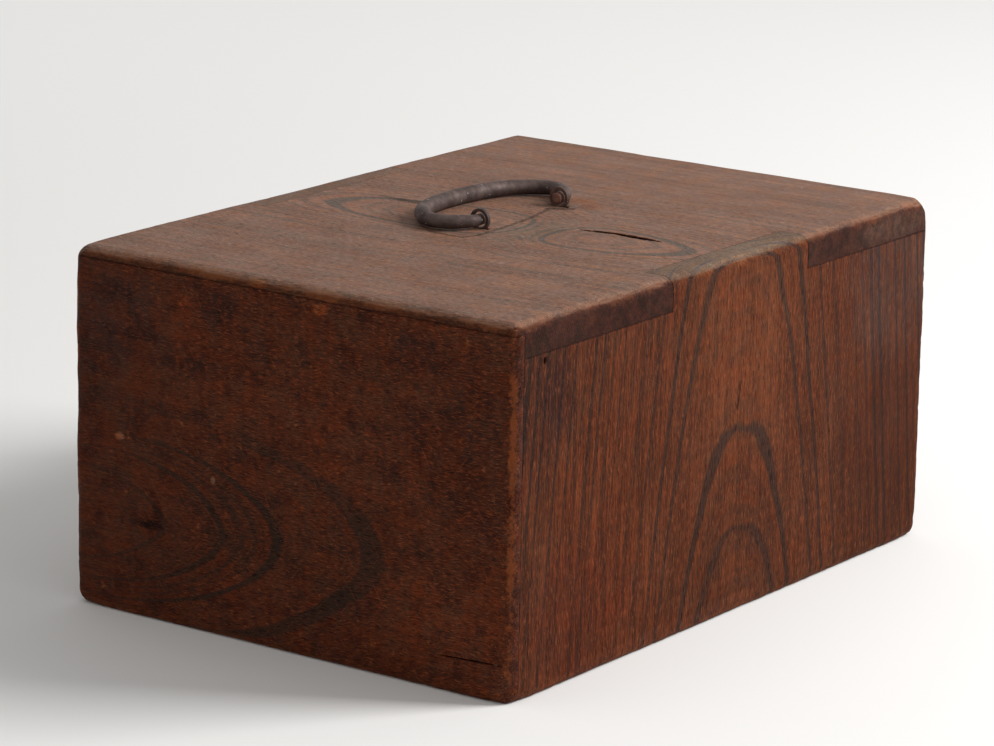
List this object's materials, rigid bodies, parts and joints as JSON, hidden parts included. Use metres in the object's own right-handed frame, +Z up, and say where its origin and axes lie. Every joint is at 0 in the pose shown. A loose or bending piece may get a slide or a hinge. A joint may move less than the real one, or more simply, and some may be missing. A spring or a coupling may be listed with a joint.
{
  "type": "ship chest",
  "caption": "Small portable chest of solid wood: finger-jointed case, sliding drawers at one end with a lock and drop pulls, iron bail handle on top.",
  "frame": {"origin": "centre of the case's underside, on the surface that the chest stands on", "axes": "+Z up; +Y from the drawer fronts to the back, along the case's longest side; +X to the right of someone facing the drawers"},
  "size_m": [0.303, 0.431, 0.2184],
  "materials": {
    "keyaki_case": "aged zelkova, rubbed lacquer, worn orange along the edges",
    "keyaki_front": "aged zelkova drawer fronts, rubbed lacquer",
    "kiri": "bare aged paulownia",
    "peg_wood": "bare deutzia pegs, planed flush",
    "iron": "hand-forged iron, dark brown-black with old rust"
  },
  "bodies": {
    "case": {"top_board": "keyaki_case", "left_side_board": "keyaki_case", "right_side_board": "keyaki_case", "bottom_board": "keyaki_case", "back_board": "keyaki_case", "back_pegs": "peg_wood", "drawer_rail": "keyaki_case", "drawer_shelf": "kiri", "partition_stile": "keyaki_case", "partition_board": "kiri", "handle_staple_front": "iron", "handle_staple_back": "iron"},
    "handle": {"bail_handle": "iron"},
    "upper_left_drawer": {"upper_left_drawer_front": "keyaki_front", "upper_left_drawer_left_side": "kiri", "upper_left_drawer_right_side": "kiri", "upper_left_drawer_back": "kiri", "upper_left_drawer_bottom": "kiri", "upper_left_drawer_pegs": "peg_wood", "upper_left_pull_posts": "iron", "upper_left_pull_rosettes": "iron"},
    "upper_right_drawer": {"upper_right_drawer_front": "keyaki_front", "upper_right_drawer_left_side": "kiri", "upper_right_drawer_right_side": "kiri", "upper_right_drawer_back": "kiri", "upper_right_drawer_bottom": "kiri", "upper_right_drawer_pegs": "peg_wood", "upper_right_pull_posts": "iron", "upper_right_pull_rosettes": "iron"},
    "lower_drawer": {"lower_drawer_front": "keyaki_front", "lower_drawer_left_side": "kiri", "lower_drawer_right_side": "kiri", "lower_drawer_back": "kiri", "lower_drawer_bottom": "kiri", "lower_drawer_pegs": "peg_wood", "lower_left_pull_posts": "iron", "lower_left_pull_rosettes": "iron", "lower_right_pull_posts": "iron", "lower_right_pull_rosettes": "iron", "lock_plate": "iron", "lock_case": "iron", "lock_nails": "iron"},
    "upper_left_pull": {"upper_left_pull": "iron"},
    "upper_right_pull": {"upper_right_pull": "iron"},
    "lower_left_pull": {"lower_left_pull": "iron"},
    "lower_right_pull": {"lower_right_pull": "iron"},
    "lock_bolt": {"lock_bolt": "iron"}
  },
  "joints": [
    {"name": "handle_lift", "type": "hinge", "parent": "case", "child": "handle", "pos_m": [0.0027, -0.00825, 0.212], "axis": [0, -1, 0], "range_deg": [0, 180]},
    {"name": "upper_left_drawer_slide", "type": "slide", "parent": "case", "child": "upper_left_drawer", "axis": [0, -1, 0], "range_m": [0, 0.33]},
    {"name": "upper_right_drawer_slide", "type": "slide", "parent": "case", "child": "upper_right_drawer", "axis": [0, -1, 0], "range_m": [0, 0.33]},
    {"name": "lower_drawer_slide", "type": "slide", "parent": "case", "child": "lower_drawer", "axis": [0, -1, 0], "range_m": [0, 0.33]},
    {"name": "upper_left_pull_swing", "type": "hinge", "parent": "upper_left_drawer", "child": "upper_left_pull", "pos_m": [-0.05025, -0.2154, 0.1645], "axis": [-1, 0, 0], "range_deg": [0, 150]},
    {"name": "upper_right_pull_swing", "type": "hinge", "parent": "upper_right_drawer", "child": "upper_right_pull", "pos_m": [0.08825, -0.2154, 0.1645], "axis": [-1, 0, 0], "range_deg": [0, 150]},
    {"name": "lower_left_pull_swing", "type": "hinge", "parent": "lower_drawer", "child": "lower_left_pull", "pos_m": [-0.078, -0.2154, 0.072], "axis": [-1, 0, 0], "range_deg": [0, 150]},
    {"name": "lower_right_pull_swing", "type": "hinge", "parent": "lower_drawer", "child": "lower_right_pull", "pos_m": [0.078, -0.2154, 0.072], "axis": [-1, 0, 0], "range_deg": [0, 150]},
    {"name": "lock_bolt_throw", "type": "slide", "parent": "lower_drawer", "child": "lock_bolt", "axis": [0, 0, 1], "range_m": [0, 0.008]}
  ]
}
